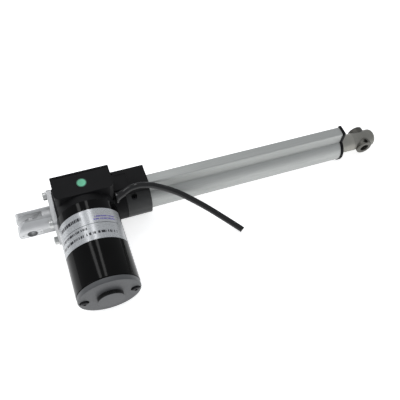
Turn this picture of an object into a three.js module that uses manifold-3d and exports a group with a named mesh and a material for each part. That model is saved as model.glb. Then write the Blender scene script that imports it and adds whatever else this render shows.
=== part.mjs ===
// A 12/24 V linear actuator: a brushed motor drives a worm, the worm drives a wheel on the
// lead screw, and the screw's nut pushes a round rod out of an extruded aluminium tube.
// Millimetres. The origin is the middle of the rear clevis hole. The rod moves along +X,
// the motor points along -Y, and +Z is the side with the tube's channel.
import * as THREE from "three";
import { mergeVertices } from "three/addons/utils/BufferGeometryUtils.js";
import Module from "manifold-3d";

const wasm = await Module();
wasm.setup();

// Driving dimensions.
const GAP = 0.3;
const EYE_X = 386.7;

const CLEVIS = { r: 13.35, tip: -13.35, slot: 3.7, slotEnd: 13.5, flat: 12.3, flatEnd: 11, holeR: 5.2 };
const FLANGE = { x: 22.5, thick: 4.5, half: 22, corner: 3.5, screwAt: 17, holeR: 2.7 };
const GASKET = { thick: 1.8, bore: 17 };
const FLANGE_SCREW = { headR: 4.2, headLength: 4, shankR: 2.3, length: 18 };

const HOUSING = { x: 29.4, chamberEnd: 84, half: 21.7, corner: 7, chamberR: 17.6, chamberDepth: 66 };
const BLOCK = { end: 86.5, front: -16.3, back: 9.8, top: 55, corner: 5, backCorner: 1 };
const WORM_BOSS = { r: 13, back: 21.5 };
const SOCKET = { x: 83, end: 123.8, r: 19.4, back: 18.6, front: -7.6, top: 30.4, chamfer: 1.6 };
const CLAMP = { x: 98, split: 22.2, edge: -8.4, shoulder: 4.6 };
const CLAMP_RECESS = { x: 106.5, y: -11.4, r: 3, floor: 15.6 };
const CLAMP_SCREW = { headR: 2.7, headLength: 2.4, shankR: 1.3, low: 13 };

const TUBE = { x: 98.5, end: 352, r: 15.4, bore: 12.6, rib: 5.75, top: 28.6, ribCorner: 1.6 };
const CHANNEL = { half: 3.6, low: 17, top: 26.4, slot: 2.5 };
const FRONT_CAP = { thick: 3, proud: 1, bore: 10.8 };
const ROD_GUIDE = { length: 17, flange: 12.3 };

const STROKE = 200;
const ROD = { x: 122.3, end: 374, r: 10.15, bore: 7.4 };
const NUT = { x: 104, r: 12.2, bore: 6.4, spigotR: 7.1, spigot: 12 };
const KEY = { half: 2.1, low: 9.2, top: 18.6, start: 108, length: 9 };
const EYE = { end: 405, dome: 7, spigotX: 362, spigotR: 7.1, crossR: 6.9 };
const BUSH = { out: 12.6, r: 9.3, spigotR: 6.6, bore: 4.9, greaseR: 2.6, greaseAt: 9.6 };

const MOTOR = { x: 55.66, z: 24.65, r: 30, wall: 1.6, start: -24.3, end: -106, capEnd: -111 };
const NECK = { r: 29, end: -24 };
const FRONT_PLATE = { r: 28.1, length: 6.6, bore: 9.7 };
const CAP = { r: 29.6, bossR: 12.3, bossEnd: -115.3, screwAt: 23.7, recessR: 4.6, recess: 1.6 };
const CAP_SCREW = { headR: 3.4, headLength: 3.2, shankR: 1.9, grip: 8 };
const LABEL = { from: -35, to: -67.5, thick: 0.25, middle: -6, sweep: 150 };
const MAGNET = { inner: 24.2, outer: 28, from: -36, to: -88, sweep: 130 };
const ARMATURE = { r: 23.4, from: -38, to: -86, slots: 10, slotR: 2.6 };
const COMMUTATOR = { r: 9, from: -88.5, to: -98.5 };
const SHAFT = { r: 4, end: -112, front: 18.3 };
const BRUSHES = { from: -90, to: -96.5, inner: 9.4, outer: 20, half: 3 };
const BRUSH_HOLDER = { from: -99.5, to: -102.5, r: 27.5, bore: 6 };
const BALL_BEARING = { r: 9.4, bore: 4.1, width: 6 };
const WORM_BEARING = { r: 8, width: 5, y: 13.5 };

const MODULE = 1.5;
const WHEEL = { teeth: 20, half: 5, bore: 6.1, hubR: 10, hubEnd: 65.4 };
const TOOTH = { addendum: 1.15, dedendum: 1.6, width: 1.9 };
const WORM = { from: -12.5, to: 9.5, turnsFrom: -9.4, turnsTo: 6.4, tip: 1.15, root: 1.55, thread: 1.7 };
const SCREW = { x: 31, end: 334, r: 6, seatR: 5, wheelR: 5.8, threadFrom: 78 };
const SCREW_BEARING = { r: 11, bore: 5.3, width: 7 };
const CARRIER = { x: 30, end: 40, r: 17.3 };
const LOCK_NUT = { x: 41.2, end: 49.5, r: 8.6 };
const FRONT_BEARING_X = 66.4;

const STRIP = { x: 101, end: 338, half: 3.3, low: 24.8, thick: 1.2 };
const SWITCH = { length: 12, half: 3, low: 19.6 };
const STICKER = { x: 57.6, y: -4, r: 4.9, thick: 0.2 };
const GLAND = { x: 86.8, y: -14.6, z: 30.4, r: 4.6, endR: 4.0, flangeR: 5.4, flange: 2.4, holeR: 1.9 };
const CABLE_D = 6.5;

// The cable's centreline, from the gland's mouth to its bare end.
const CABLE_ROUTE = [
  [96.6, -11.7, 32.4], [103, -10, 34.2], [108.3, -9.7, 35], [113.5, -9.7, 34.8], [118.5, -10.3, 33.8],
  [125.7, -10.9, 31.2], [133.6, -12.9, 27.3], [143.6, -15.8, 21.9], [153.3, -20, 16.7], [162.6, -26, 12.1],
  [171.6, -32.8, 7.9], [180.3, -40.7, 4.5], [188.8, -49.2, 1.2], [197.1, -58.2, -1.6], [205.1, -67.4, -3.9],
  [207, -70, -4.5],
];

const PAINT = {
  clevis: [0xc9cccb, 0.42, 0.9], black: [0x141517, 0.55, 0.05], clamp: [0x2b2d2e, 0.6, 0.05],
  screw: [0xb8bab9, 0.3, 1], darkScrew: [0x3a3b3d, 0.35, 1], tube: [0xc6c9c7, 0.35, 0.85],
  rod: [0xa9a79d, 0.28, 1], can: [0x0c0c0d, 0.12, 0.2], label: [0xb6b9bd, 0.4, 0.4],
  endCap: [0x5f6266, 0.5, 0.5], green: [0x63c79a, 0.45, 0], plastic: [0xd9d6c8, 0.5, 0],
  rubber: [0x101112, 0.75, 0], brass: [0xb08d45, 0.35, 1], steel: [0x8f9294, 0.3, 1],
  magnet: [0x34363a, 0.7, 0.1], copper: [0xb46a3c, 0.4, 0.9], board: [0x2f6b45, 0.5, 0.1],
};

// Small geometry helpers.
const UNIT = { x: new THREE.Vector3(1, 0, 0), y: new THREE.Vector3(0, 1, 0), z: new THREE.Vector3(0, 0, 1) };
const AXES = {
  x: new THREE.Matrix4().makeBasis(UNIT.y, UNIT.z, UNIT.x),
  y: new THREE.Matrix4().makeBasis(UNIT.z, UNIT.x, UNIT.y),
  z: new THREE.Matrix4(),
};

function toSolid(geometry) {
  const bare = geometry.index ? geometry.toNonIndexed() : geometry.clone();
  bare.deleteAttribute("normal");
  bare.deleteAttribute("uv");
  const merged = mergeVertices(bare, 1e-4);
  return new wasm.Manifold(new wasm.Mesh({
    numProp: 3,
    vertProperties: new Float32Array(merged.attributes.position.array),
    triVerts: new Uint32Array(merged.index.array),
  }));
}

function toGeometry(solid) {
  const { vertProperties, triVerts } = solid.getMesh();
  const geometry = new THREE.BufferGeometry();
  geometry.setAttribute("position", new THREE.BufferAttribute(new Float32Array(vertProperties), 3));
  geometry.setIndex(new THREE.BufferAttribute(new Uint32Array(triVerts), 1));
  return geometry;
}

const join = (first, ...others) => others.reduce((a, b) => a.add(b), first);
const cut = (first, ...others) => others.reduce((a, b) => a.subtract(b), first);

// A prism along an axis. The outline lies in the two axes that follow it, in X, Y, Z order.
function prism(axis, shape, from, to, curveSegments = 12) {
  const low = Math.min(from, to);
  const options = { depth: Math.abs(to - from), bevelEnabled: false, curveSegments };
  const geometry = new THREE.ExtrudeGeometry(shape, options).translate(0, 0, low);
  return toSolid(geometry.applyMatrix4(AXES[axis]));
}

// A solid whose faces point outwards, whichever way round the geometry lists them.
function outward(geometry) {
  const solid = toSolid(geometry);
  if (solid.volume() > 0) return solid;
  const index = Array.from(geometry.index.array);
  for (let i = 0; i < index.length; i += 3) [index[i], index[i + 1]] = [index[i + 1], index[i]];
  geometry.setIndex(index);
  return toSolid(geometry);
}

// A solid of revolution about an axis, from [radius, position] pairs.
function turned(axis, profile, centre = [0, 0, 0], sides = 24) {
  const points = profile.map(([r, at]) => new THREE.Vector2(r, at));
  const geometry = new THREE.LatheGeometry(points, sides).rotateX(Math.PI / 2);
  return outward(geometry.applyMatrix4(AXES[axis]).translate(...centre));
}

// A round bar or ring along an axis, with its centre at the other two coordinates.
function bar(axis, r, from, to, centre = [0, 0, 0], sides = 24) {
  const low = Math.min(from, to);
  const high = Math.max(from, to);
  return turned(axis, [[0, low], [r, low], [r, high], [0, high]], centre, sides);
}

function ring(axis, outer, inner, from, to, centre = [0, 0, 0], sides = 24) {
  const low = Math.min(from, to);
  const high = Math.max(from, to);
  const profile = [[inner, low], [outer, low], [outer, high], [inner, high], [inner, low]];
  return turned(axis, profile, centre, sides);
}

function block(x0, x1, y0, y1, z0, z1) {
  const geometry = new THREE.BoxGeometry(x1 - x0, y1 - y0, z1 - z0);
  return toSolid(geometry.translate((x0 + x1) / 2, (y0 + y1) / 2, (z0 + z1) / 2));
}

// A rectangle with rounded corners: one radius on its low V side and one on its high V side.
function roundedRectangle(u0, u1, v0, v1, r, highR = r) {
  const shape = new THREE.Shape();
  shape.absarc(u1 - r, v0 + r, r, -Math.PI / 2, 0, false);
  shape.absarc(u1 - highR, v1 - highR, highR, 0, Math.PI / 2, false);
  shape.absarc(u0 + highR, v1 - highR, highR, Math.PI / 2, Math.PI, false);
  shape.absarc(u0 + r, v0 + r, r, Math.PI, Math.PI * 1.5, false);
  shape.closePath();
  return shape;
}

// The extrusion's outline: a circle with a rectangular rib on top, grown by a margin.
function keyholeOutline(grow = 0) {
  const r = TUBE.r + grow;
  const half = TUBE.rib + grow;
  const top = TUBE.top + grow;
  const c = TUBE.ribCorner;
  const valley = Math.asin(half / r);
  const shape = new THREE.Shape();
  shape.absarc(0, 0, r, Math.PI / 2 + valley, Math.PI * 2.5 - valley, false);
  shape.absarc(half - c, top - c, c, 0, Math.PI / 2, false);
  shape.absarc(c - half, top - c, c, Math.PI / 2, Math.PI, false);
  shape.closePath();
  return shape;
}

const motorCentre = [MOTOR.x, 0, MOTOR.z];

// Rear clevis and its flange.
function rearClevis() {
  const c = CLEVIS;
  const far = c.r * 2;
  const fork = cut(
    bar("x", c.r, c.tip, FLANGE.x + 1, [0, 0, 0], 36),
    block(c.tip - 1, c.slotEnd, -c.slot, c.slot, -far, far),
    block(c.tip - 1, c.flatEnd, c.flat, far, -far, far),
    block(c.tip - 1, c.flatEnd, -far, -c.flat, -far, far),
    bar("y", c.holeR, -far, far, [0, 0, 0], 24),
  );
  const rounding = join(bar("y", c.r, -far, far, [0, 0, 0], 36), block(0, far, -far, far, -far, far));
  const plateEnd = FLANGE.x + FLANGE.thick;
  const outline = roundedRectangle(-FLANGE.half, FLANGE.half, -FLANGE.half, FLANGE.half, FLANGE.corner);
  const holes = corners().map(([y, z]) => bar("x", FLANGE.holeR, 20, 30, [0, y, z], 12));
  return cut(join(fork.intersect(rounding), prism("x", outline, FLANGE.x, plateEnd, 5)), ...holes);
}

function corners() {
  const at = FLANGE.screwAt;
  return [[at, at], [-at, at], [-at, -at], [at, -at]];
}

function flangeGasket() {
  const start = FLANGE.x + FLANGE.thick + GAP;
  const half = FLANGE.half - GAP;
  const outline = roundedRectangle(-half, half, -half, half, FLANGE.corner);
  const holes = corners().map(([y, z]) => bar("x", FLANGE.holeR, 20, 32, [0, y, z], 12));
  return cut(prism("x", outline, start, start + GASKET.thick, 4), bar("x", GASKET.bore, 20, 32), ...holes);
}

function flangeScrew([y, z]) {
  const s = FLANGE_SCREW;
  const seat = FLANGE.x - GAP;
  const top = seat - s.headLength;
  const head = [[0, top], [s.headR - 0.7, top], [s.headR, top + 0.7], [s.headR, seat]];
  const profile = [...head, [s.shankR, seat], [s.shankR, seat + s.length], [0, seat + s.length]];
  const hex = bar("x", 1.9, top - 1, top + 2.2, [0, y, z], 6);
  return cut(turned("x", profile, [0, y, z], 16), hex);
}

// Gear housing: chamber, motor block, far worm boss and tube socket, hollowed as one casting.
function socketOutline() {
  const s = SOCKET;
  const shape = new THREE.Shape();
  shape.absarc(0, 0, s.r, Math.PI, Math.PI * 2, false);
  shape.lineTo(s.back, s.top - s.chamfer);
  shape.lineTo(s.back - s.chamfer, s.top);
  shape.lineTo(s.front + s.chamfer, s.top);
  shape.lineTo(s.front, s.top - s.chamfer);
  shape.lineTo(CLAMP.edge, CLAMP.split);
  shape.absarc(0, CLAMP.shoulder, s.r, Math.acos(CLAMP.edge / s.r), Math.PI, false);
  shape.closePath();
  return shape;
}

function clampZone(margin) {
  return block(CLAMP.x - margin, SOCKET.end + 5, -40, margin - GAP / 2, -40, CLAMP.split + margin);
}

function gearHousing() {
  const h = HOUSING;
  const b = BLOCK;
  const body = join(
    prism("x", roundedRectangle(-h.half, h.half, -h.half, h.half, h.corner), h.x, h.chamberEnd, 5),
    prism("z", roundedRectangle(h.x, b.end, b.front, b.back, b.corner, b.backCorner), 0, b.top, 5),
    bar("y", WORM_BOSS.r, b.back - 3, WORM_BOSS.back, motorCentre, 24),
    bar("y", NECK.r, b.front + 3, NECK.end, motorCentre, 44).intersect(block(h.x, 200, -60, 60, -60, 60)),
    prism("x", socketOutline(), SOCKET.x, SOCKET.end, 16),
  );
  const bearingSeatEnd = FRONT_BEARING_X + SCREW_BEARING.width + GAP;
  const pilots = corners().map(([y, z]) => bar("x", FLANGE_SCREW.shankR + GAP, 20, 42, [0, y, z], 12));
  const bored = cut(
    body,
    bar("x", h.chamberR, h.x - 5, h.chamberDepth, [0, 0, 0], 28),
    bar("x", SCREW_BEARING.r + GAP, h.chamberDepth - 1, bearingSeatEnd, [0, 0, 0], 28),
    bar("x", 8, 70, TUBE.x, [0, 0, 0], 24),
    bar("x", NUT.r + 1.2, 80, TUBE.x, [0, 0, 0], 28),
    prism("x", keyholeOutline(GAP), TUBE.x - GAP, SOCKET.end + 5, 16),
    bar("y", 12.4, NECK.end - 5, WORM_BEARING.y - 1, motorCentre, 32),
    bar("y", WORM_BEARING.r + GAP, NECK.end - 5, WORM_BEARING.y + WORM_BEARING.width + GAP, motorCentre, 24),
    bar("x", GLAND.holeR, 64, b.end + 5, [0, GLAND.y, GLAND.z], 16),
    clampZone(GAP / 2),
    ...pilots,
  );
  return cut(bored, block(78, TUBE.x, -KEY.half - 0.6, KEY.half + 0.6, 0, KEY.top + 1));
}

// The lower front part of the collar that grips the tube. The upper part belongs to the housing.
function tubeClamp() {
  const whole = prism("x", socketOutline(), SOCKET.x, SOCKET.end, 16);
  return cut(
    whole.intersect(clampZone(-GAP / 2)),
    prism("x", keyholeOutline(GAP), TUBE.x - 10, SOCKET.end + 5, 16),
    clampScrewHole(),
  );
}

// The clamp's screw stands upright in a round recess in the clamp's shoulder.
const clampScrewCentre = [CLAMP_RECESS.x, CLAMP_RECESS.y, 0];

function clampScrewHole() {
  const s = CLAMP_SCREW;
  return join(
    bar("z", CLAMP_RECESS.r, CLAMP_RECESS.floor, CLAMP.split + 5, clampScrewCentre, 20),
    bar("z", s.shankR + GAP, s.low - GAP, CLAMP_RECESS.floor + 1, clampScrewCentre, 12),
  );
}

function clampScrew() {
  const s = CLAMP_SCREW;
  const seat = CLAMP_RECESS.floor + GAP;
  const top = seat + s.headLength;
  const hex = bar("z", 1.3, top - 1.5, top + 1, clampScrewCentre, 6);
  const profile = [
    [0, s.low], [s.shankR, s.low], [s.shankR, seat], [s.headR, seat], [s.headR, top - 0.6],
    [s.headR - 0.6, top], [0, top],
  ];
  return cut(turned("z", profile, clampScrewCentre, 20), hex);
}

// Outer tube, its front cap and the rod guide.
function channelHollow(from, to) {
  const c = CHANNEL;
  return join(
    bar("x", TUBE.bore, from, to, [0, 0, 0], 28),
    block(from, to, -c.half, c.half, c.low, c.top),
    block(from, to, -c.slot, c.slot, TUBE.bore - 2, c.low + 1),
  );
}

function outerTube() {
  return cut(prism("x", keyholeOutline(), TUBE.x, TUBE.end, 20), channelHollow(TUBE.x - 1, TUBE.end + 1));
}

function frontCap() {
  const start = TUBE.end + GAP;
  const plate = prism("x", keyholeOutline(FRONT_CAP.proud), start, start + FRONT_CAP.thick, 18);
  return cut(plate, bar("x", FRONT_CAP.bore, start - 1, start + 9, [0, 0, 0], 28));
}

function rodGuide() {
  const end = TUBE.end - GAP;
  return ring("x", ROD_GUIDE.flange, ROD.r + 0.25, end - ROD_GUIDE.length, end, [0, 0, 0], 28);
}

// The moving rod: tube, nut, key, eye plug and the two flanged eye bushes.
function rodTube() {
  return ring("x", ROD.r, ROD.bore, ROD.x, ROD.end, [0, 0, 0], 28);
}

function keyBox(grow) {
  const end = KEY.start + KEY.length;
  return block(KEY.start - grow, end + grow, -KEY.half - grow, KEY.half + grow, KEY.low - grow, KEY.top);
}

function driveNut() {
  const shoulder = ROD.x - GAP;
  const profile = [
    [NUT.bore, NUT.x], [NUT.r - 0.8, NUT.x], [NUT.r, NUT.x + 0.8], [NUT.r, shoulder], [NUT.spigotR, shoulder],
    [NUT.spigotR, shoulder + NUT.spigot], [NUT.bore, shoulder + NUT.spigot], [NUT.bore, NUT.x],
  ];
  return cut(turned("x", profile, [0, 0, 0], 28), keyBox(GAP));
}

function rodEye() {
  const start = ROD.end + GAP;
  const profile = [
    [0, EYE.spigotX], [EYE.spigotR, EYE.spigotX], [EYE.spigotR, start], [ROD.r, start],
    [ROD.r, EYE.end - EYE.dome], [ROD.r - 0.9, EYE.end - 3.6], [ROD.r - 3, EYE.end - 1.2],
    [ROD.r - 6, EYE.end], [0, EYE.end],
  ];
  return cut(turned("x", profile, [0, 0, 0], 28), bar("y", EYE.crossR, -20, 20, [EYE_X, 0, 0], 32));
}

function eyeBush(side) {
  const centre = [EYE_X, 0, 0];
  const flange = cut(
    bar("y", BUSH.r, 0, BUSH.out, centre, 24),
    bar("x", ROD.r + GAP, EYE_X - 20, EYE_X + 20, [0, 0, 0], 28),
  );
  const sleeve = join(flange, bar("y", BUSH.spigotR, GAP, BUSH.out - 0.5, centre, 24));
  const bored = cut(sleeve, bar("y", BUSH.bore, -1, BUSH.out + 1, centre, 20));
  if (side > 0) return bored;
  // Only the bush on the motor's side has a grease hole.
  const grease = bar("z", BUSH.greaseR, BUSH.spigotR - 1, 20, [EYE_X, BUSH.greaseAt, 0], 16);
  return cut(bored, grease).mirror([0, 1, 0]);
}

// Motor.
function motorFrontPlate() {
  const p = FRONT_PLATE;
  const start = MOTOR.start - GAP;
  return ring("y", p.r, p.bore, start, start - p.length, motorCentre, 36);
}

function motorCan() {
  return ring("y", MOTOR.r, MOTOR.r - MOTOR.wall, MOTOR.start, MOTOR.end, motorCentre, 44);
}

function arcPrism(inner, outer, middle, sweep, from, to, segments) {
  const shape = new THREE.Shape();
  const half = THREE.MathUtils.degToRad(sweep / 2);
  const at = THREE.MathUtils.degToRad(middle);
  shape.absarc(0, 0, outer, at - half, at + half, false);
  shape.absarc(0, 0, inner, at + half, at - half, true);
  shape.closePath();
  return prism("y", shape, from, to, segments).translate(motorCentre);
}

function magnet(side) {
  return arcPrism(MAGNET.inner, MAGNET.outer, 90 + side * 90, MAGNET.sweep, MAGNET.from, MAGNET.to, 16);
}

function ratingLabel() {
  const inner = MOTOR.r + 0.05;
  return arcPrism(inner, inner + LABEL.thick, LABEL.middle, LABEL.sweep, LABEL.from, LABEL.to, 24);
}

function motorEndCap() {
  const start = MOTOR.end - GAP;
  const profile = [
    [0, CAP.bossEnd], [CAP.bossR - 0.6, CAP.bossEnd], [CAP.bossR, CAP.bossEnd + 0.6],
    [CAP.bossR, MOTOR.capEnd], [CAP.r - 1, MOTOR.capEnd], [CAP.r, MOTOR.capEnd + 1],
    [CAP.r, start], [BALL_BEARING.r + GAP, start],
    [BALL_BEARING.r + GAP, MOTOR.capEnd - 2.6], [0, MOTOR.capEnd - 2.6],
  ];
  const recesses = [-1, 1].map((side) => join(
    bar("y", CAP.recessR, MOTOR.capEnd - 1, MOTOR.capEnd + CAP.recess, screwCentre(side), 16),
    bar("y", CAP_SCREW.shankR + GAP, MOTOR.capEnd - 1, start + 1, screwCentre(side), 12),
  ));
  return cut(turned("y", profile, motorCentre, 44), ...recesses);
}

function screwCentre(side) {
  return [MOTOR.x + side * CAP.screwAt, 0, MOTOR.z];
}

function motorScrew(side) {
  const s = CAP_SCREW;
  const seat = MOTOR.capEnd + CAP.recess - GAP;
  const top = seat - s.headLength;
  const profile = [
    [0, top], [s.headR - 0.7, top], [s.headR, top + 0.7], [s.headR, seat], [s.shankR, seat],
    [s.shankR, MOTOR.end + s.grip], [0, MOTOR.end + s.grip],
  ];
  const hex = bar("y", 1.6, top - 1, top + 1.8, screwCentre(side), 6);
  return cut(turned("y", profile, screwCentre(side), 16), hex);
}

function armature() {
  const slots = Array.from({ length: ARMATURE.slots }, (_, i) => {
    const a = (i * 2 * Math.PI) / ARMATURE.slots;
    const at = ARMATURE.r - ARMATURE.slotR * 0.6;
    const centre = [MOTOR.x + at * Math.cos(a), 0, MOTOR.z + at * Math.sin(a)];
    return bar("y", ARMATURE.slotR, ARMATURE.from + 2, ARMATURE.to - 2, centre, 10);
  });
  const core = ring("y", ARMATURE.r, SHAFT.r + GAP, ARMATURE.from, ARMATURE.to, motorCentre, 32);
  return cut(core, ...slots);
}

function brush(side) {
  const b = BRUSHES;
  const low = side > 0 ? b.inner : -b.outer;
  const high = side > 0 ? b.outer : -b.inner;
  return block(MOTOR.x - b.half, MOTOR.x + b.half, b.to, b.from, MOTOR.z + low, MOTOR.z + high);
}

function brushHolder() {
  const h = BRUSH_HOLDER;
  const plate = ring("y", h.r, h.bore, h.from, h.to, motorCentre, 32);
  const holeR = CAP_SCREW.shankR + 1;
  const holes = [-1, 1].map((side) => bar("y", holeR, h.to - 2, h.from + 2, screwCentre(side), 16));
  return cut(plate, ...holes);
}

function motorShaft() {
  return bar("y", SHAFT.r, SHAFT.end, SHAFT.front, motorCentre, 20);
}

// Worm: one right-hand thread whose pitch is the wheel's circular pitch.
const wheelR = (WHEEL.teeth * MODULE) / 2;
const wormR = MOTOR.z - wheelR;
const pitch = Math.PI * MODULE;

function wormThread() {
  const perTurn = 16;
  const turns = (WORM.turnsTo - WORM.turnsFrom) / pitch;
  const steps = Math.round(turns * perTurn);
  const slope = Math.tan(THREE.MathUtils.degToRad(20));
  const rootHalf = WORM.thread / 2 + WORM.root * slope;
  const tipHalf = WORM.thread / 2 - WORM.tip * slope;
  const section = [[wormR - WORM.root - 0.4, -rootHalf], [wormR + WORM.tip, -tipHalf],
    [wormR + WORM.tip, tipHalf], [wormR - WORM.root - 0.4, rootHalf]];
  const positions = [];
  const index = [];
  for (let i = 0; i <= steps; i += 1) {
    const y = WORM.turnsFrom + (i * pitch) / perTurn;
    // The groove straight below the axis is centred on the top tooth of the wheel, at y = 0.
    const angle = ((y - pitch / 2) / pitch) * 2 * Math.PI + Math.PI / 2;
    for (const [r, dy] of section) {
      positions.push(MOTOR.x + r * Math.cos(angle), y + dy, MOTOR.z - r * Math.sin(angle));
    }
  }
  const n = section.length;
  for (let i = 0; i < steps; i += 1) {
    for (let k = 0; k < n; k += 1) {
      const a = i * n + k;
      const b = i * n + ((k + 1) % n);
      index.push(a, b, a + n, b, b + n, a + n);
    }
  }
  const last = steps * n;
  index.push(0, 2, 1, 0, 3, 2, last, last + 1, last + 2, last, last + 2, last + 3);
  const geometry = new THREE.BufferGeometry();
  geometry.setAttribute("position", new THREE.Float32BufferAttribute(positions, 3));
  geometry.setIndex(index);
  return outward(geometry);
}

function worm() {
  const core = bar("y", wormR - WORM.root, WORM.from, WORM.to, motorCentre, 32);
  return cut(join(core, wormThread()), bar("y", SHAFT.r + GAP, -30, 30, motorCentre, 20));
}

// Worm wheel: straight-flanked teeth, leaning by the worm's lead angle.
function wheelTeeth() {
  const lean = pitch / (2 * Math.PI * wormR);
  const slope = Math.tan(THREE.MathUtils.degToRad(20));
  const step = (2 * Math.PI) / WHEEL.teeth;
  const low = wheelR - TOOTH.dedendum;
  const high = wheelR + TOOTH.addendum;
  const lowHalf = (TOOTH.width / 2 + TOOTH.dedendum * slope) / low;
  const highHalf = (TOOTH.width / 2 - TOOTH.addendum * slope * 1.25) / high;
  const shape = new THREE.Shape();
  for (let i = 0; i < WHEEL.teeth; i += 1) {
    const middle = Math.PI / 2 + i * step;
    const corner = (r, a) => [r * Math.cos(a), r * Math.sin(a)];
    const points = [corner(low, middle - lowHalf), corner(high, middle - highHalf),
      corner(high, middle + highHalf), corner(low, middle + lowHalf)];
    points.forEach(([u, v], k) => (i + k === 0 ? shape.moveTo(u, v) : shape.lineTo(u, v)));
  }
  shape.closePath();
  const options = { depth: 2 * WHEEL.half, steps: 2, bevelEnabled: false };
  const geometry = new THREE.ExtrudeGeometry(shape, options).translate(0, 0, -WHEEL.half);
  const position = geometry.attributes.position;
  for (let i = 0; i < position.count; i += 1) {
    const twist = (position.getZ(i) * lean) / wheelR;
    const u = position.getX(i);
    const v = position.getY(i);
    position.setX(i, u * Math.cos(twist) - v * Math.sin(twist));
    position.setY(i, u * Math.sin(twist) + v * Math.cos(twist));
  }
  return toSolid(geometry.applyMatrix4(AXES.x).translate(MOTOR.x, 0, 0));
}

function wormWheel() {
  const hub = bar("x", WHEEL.hubR, MOTOR.x, WHEEL.hubEnd, [0, 0, 0], 24);
  return cut(join(wheelTeeth(), hub), bar("x", WHEEL.bore, 30, 70, [0, 0, 0], 24));
}

function leadScrew() {
  const s = SCREW;
  const profile = [
    [0, s.x], [s.seatR, s.x], [s.seatR, LOCK_NUT.end + 0.6], [s.wheelR, LOCK_NUT.end + 0.6],
    [s.wheelR, WHEEL.hubEnd + 0.5], [s.seatR, WHEEL.hubEnd + 0.5], [s.seatR, s.threadFrom],
    [s.r, s.threadFrom], [s.r, s.end - 1],
    [s.r - 1, s.end], [0, s.end],
  ];
  return turned("x", profile, [0, 0, 0], 24);
}

function lockNut() {
  return cut(
    bar("x", LOCK_NUT.r, LOCK_NUT.x, LOCK_NUT.end, [0, 0, 0], 6),
    bar("x", SCREW.seatR + GAP, 30, 60, [0, 0, 0], 24),
  );
}

function screwBearing(from) {
  const b = SCREW_BEARING;
  return ring("x", b.r, b.bore, from, from + b.width, [0, 0, 0], 28);
}

function bearingCarrier() {
  return ring("x", CARRIER.r, SCREW_BEARING.r + GAP, CARRIER.x, CARRIER.end, [0, 0, 0], 36);
}

function motorBearing(from) {
  const b = BALL_BEARING;
  return ring("y", b.r, b.bore + 0.2, from, from - b.width, motorCentre, 28);
}

function wormBearing() {
  const b = WORM_BEARING;
  return ring("y", b.r, SHAFT.r + GAP, b.y, b.y + b.width, motorCentre, 24);
}

function limitSwitch(x) {
  return block(x, x + SWITCH.length, -SWITCH.half, SWITCH.half, SWITCH.low, STRIP.low - GAP);
}

// The gland's sleeve leaves its flange at a slant, along the cable's first stretch.
function cableGland() {
  const g = GLAND;
  const start = new THREE.Vector3(g.x, g.y, g.z);
  const lean = new THREE.Vector3(...CABLE_ROUTE[0]).sub(start);
  const flange = turned("x", [
    [0, g.x], [g.flangeR, g.x], [g.flangeR, g.x + g.flange - 0.6], [g.flangeR - 0.6, g.x + g.flange],
    [0, g.x + g.flange],
  ], [0, g.y, g.z], 20);
  const length = lean.length() - GAP;
  const sleeveStart = g.flange * 0.8;
  const sleeve = new THREE.LatheGeometry([
    new THREE.Vector2(0, sleeveStart), new THREE.Vector2(g.r, sleeveStart),
    new THREE.Vector2(g.endR, length), new THREE.Vector2(0, length),
  ], 20);
  const turn = new THREE.Quaternion().setFromUnitVectors(new THREE.Vector3(0, 1, 0), lean.normalize());
  return join(flange, outward(sleeve.applyQuaternion(turn).translate(...start)));
}

function cableTube() {
  const route = new THREE.CatmullRomCurve3(CABLE_ROUTE.map((p) => new THREE.Vector3(...p)));
  const section = new THREE.Shape();
  section.absarc(0, 0, CABLE_D / 2, 0, Math.PI * 2, false);
  const options = { steps: 22, curveSegments: 5, extrudePath: route };
  return new THREE.ExtrudeGeometry(section, options);
}

// Assembly.
function part(name, shape, [color, roughness, metalness]) {
  const geometry = shape instanceof THREE.BufferGeometry ? shape : toGeometry(shape);
  const material = new THREE.MeshStandardMaterial({ color, roughness, metalness });
  const mesh = new THREE.Mesh(geometry, material);
  mesh.name = name;
  return mesh;
}

function group(...meshes) {
  const g = new THREE.Group();
  g.add(...meshes);
  return g;
}

const mountAssembly = group(
  part("rear_clevis", rearClevis(), PAINT.clevis),
  part("flange_gasket", flangeGasket(), PAINT.rubber),
  ...corners().map((at, i) => part(`flange_screw_${i + 1}`, flangeScrew(at), PAINT.screw)),
);

const gearboxAssembly = group(
  part("gear_housing", gearHousing(), PAINT.black),
  part("tube_clamp", tubeClamp(), PAINT.clamp),
  part("clamp_screw", clampScrew(), PAINT.darkScrew),
  part("inspection_sticker", bar("z", STICKER.r, BLOCK.top + 0.05, BLOCK.top + 0.05 + STICKER.thick,
    [STICKER.x, STICKER.y, 0], 32), PAINT.green),
  part("bearing_carrier", bearingCarrier(), PAINT.plastic),
  part("rear_screw_bearing", screwBearing(CARRIER.x + 1), PAINT.steel),
  part("front_screw_bearing", screwBearing(FRONT_BEARING_X), PAINT.steel),
  part("worm_bearing", wormBearing(), PAINT.steel),
);

const tubeAssembly = group(
  part("outer_tube", outerTube(), PAINT.tube),
  part("front_cap", frontCap(), PAINT.black),
  part("rod_guide", rodGuide(), PAINT.plastic),
  part("switch_strip", block(STRIP.x, STRIP.end, -STRIP.half, STRIP.half, STRIP.low, STRIP.low + STRIP.thick),
    PAINT.board),
  part("limit_switch_rear", limitSwitch(KEY.start), PAINT.black),
  part("limit_switch_front", limitSwitch(KEY.start + STROKE), PAINT.black),
);

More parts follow.
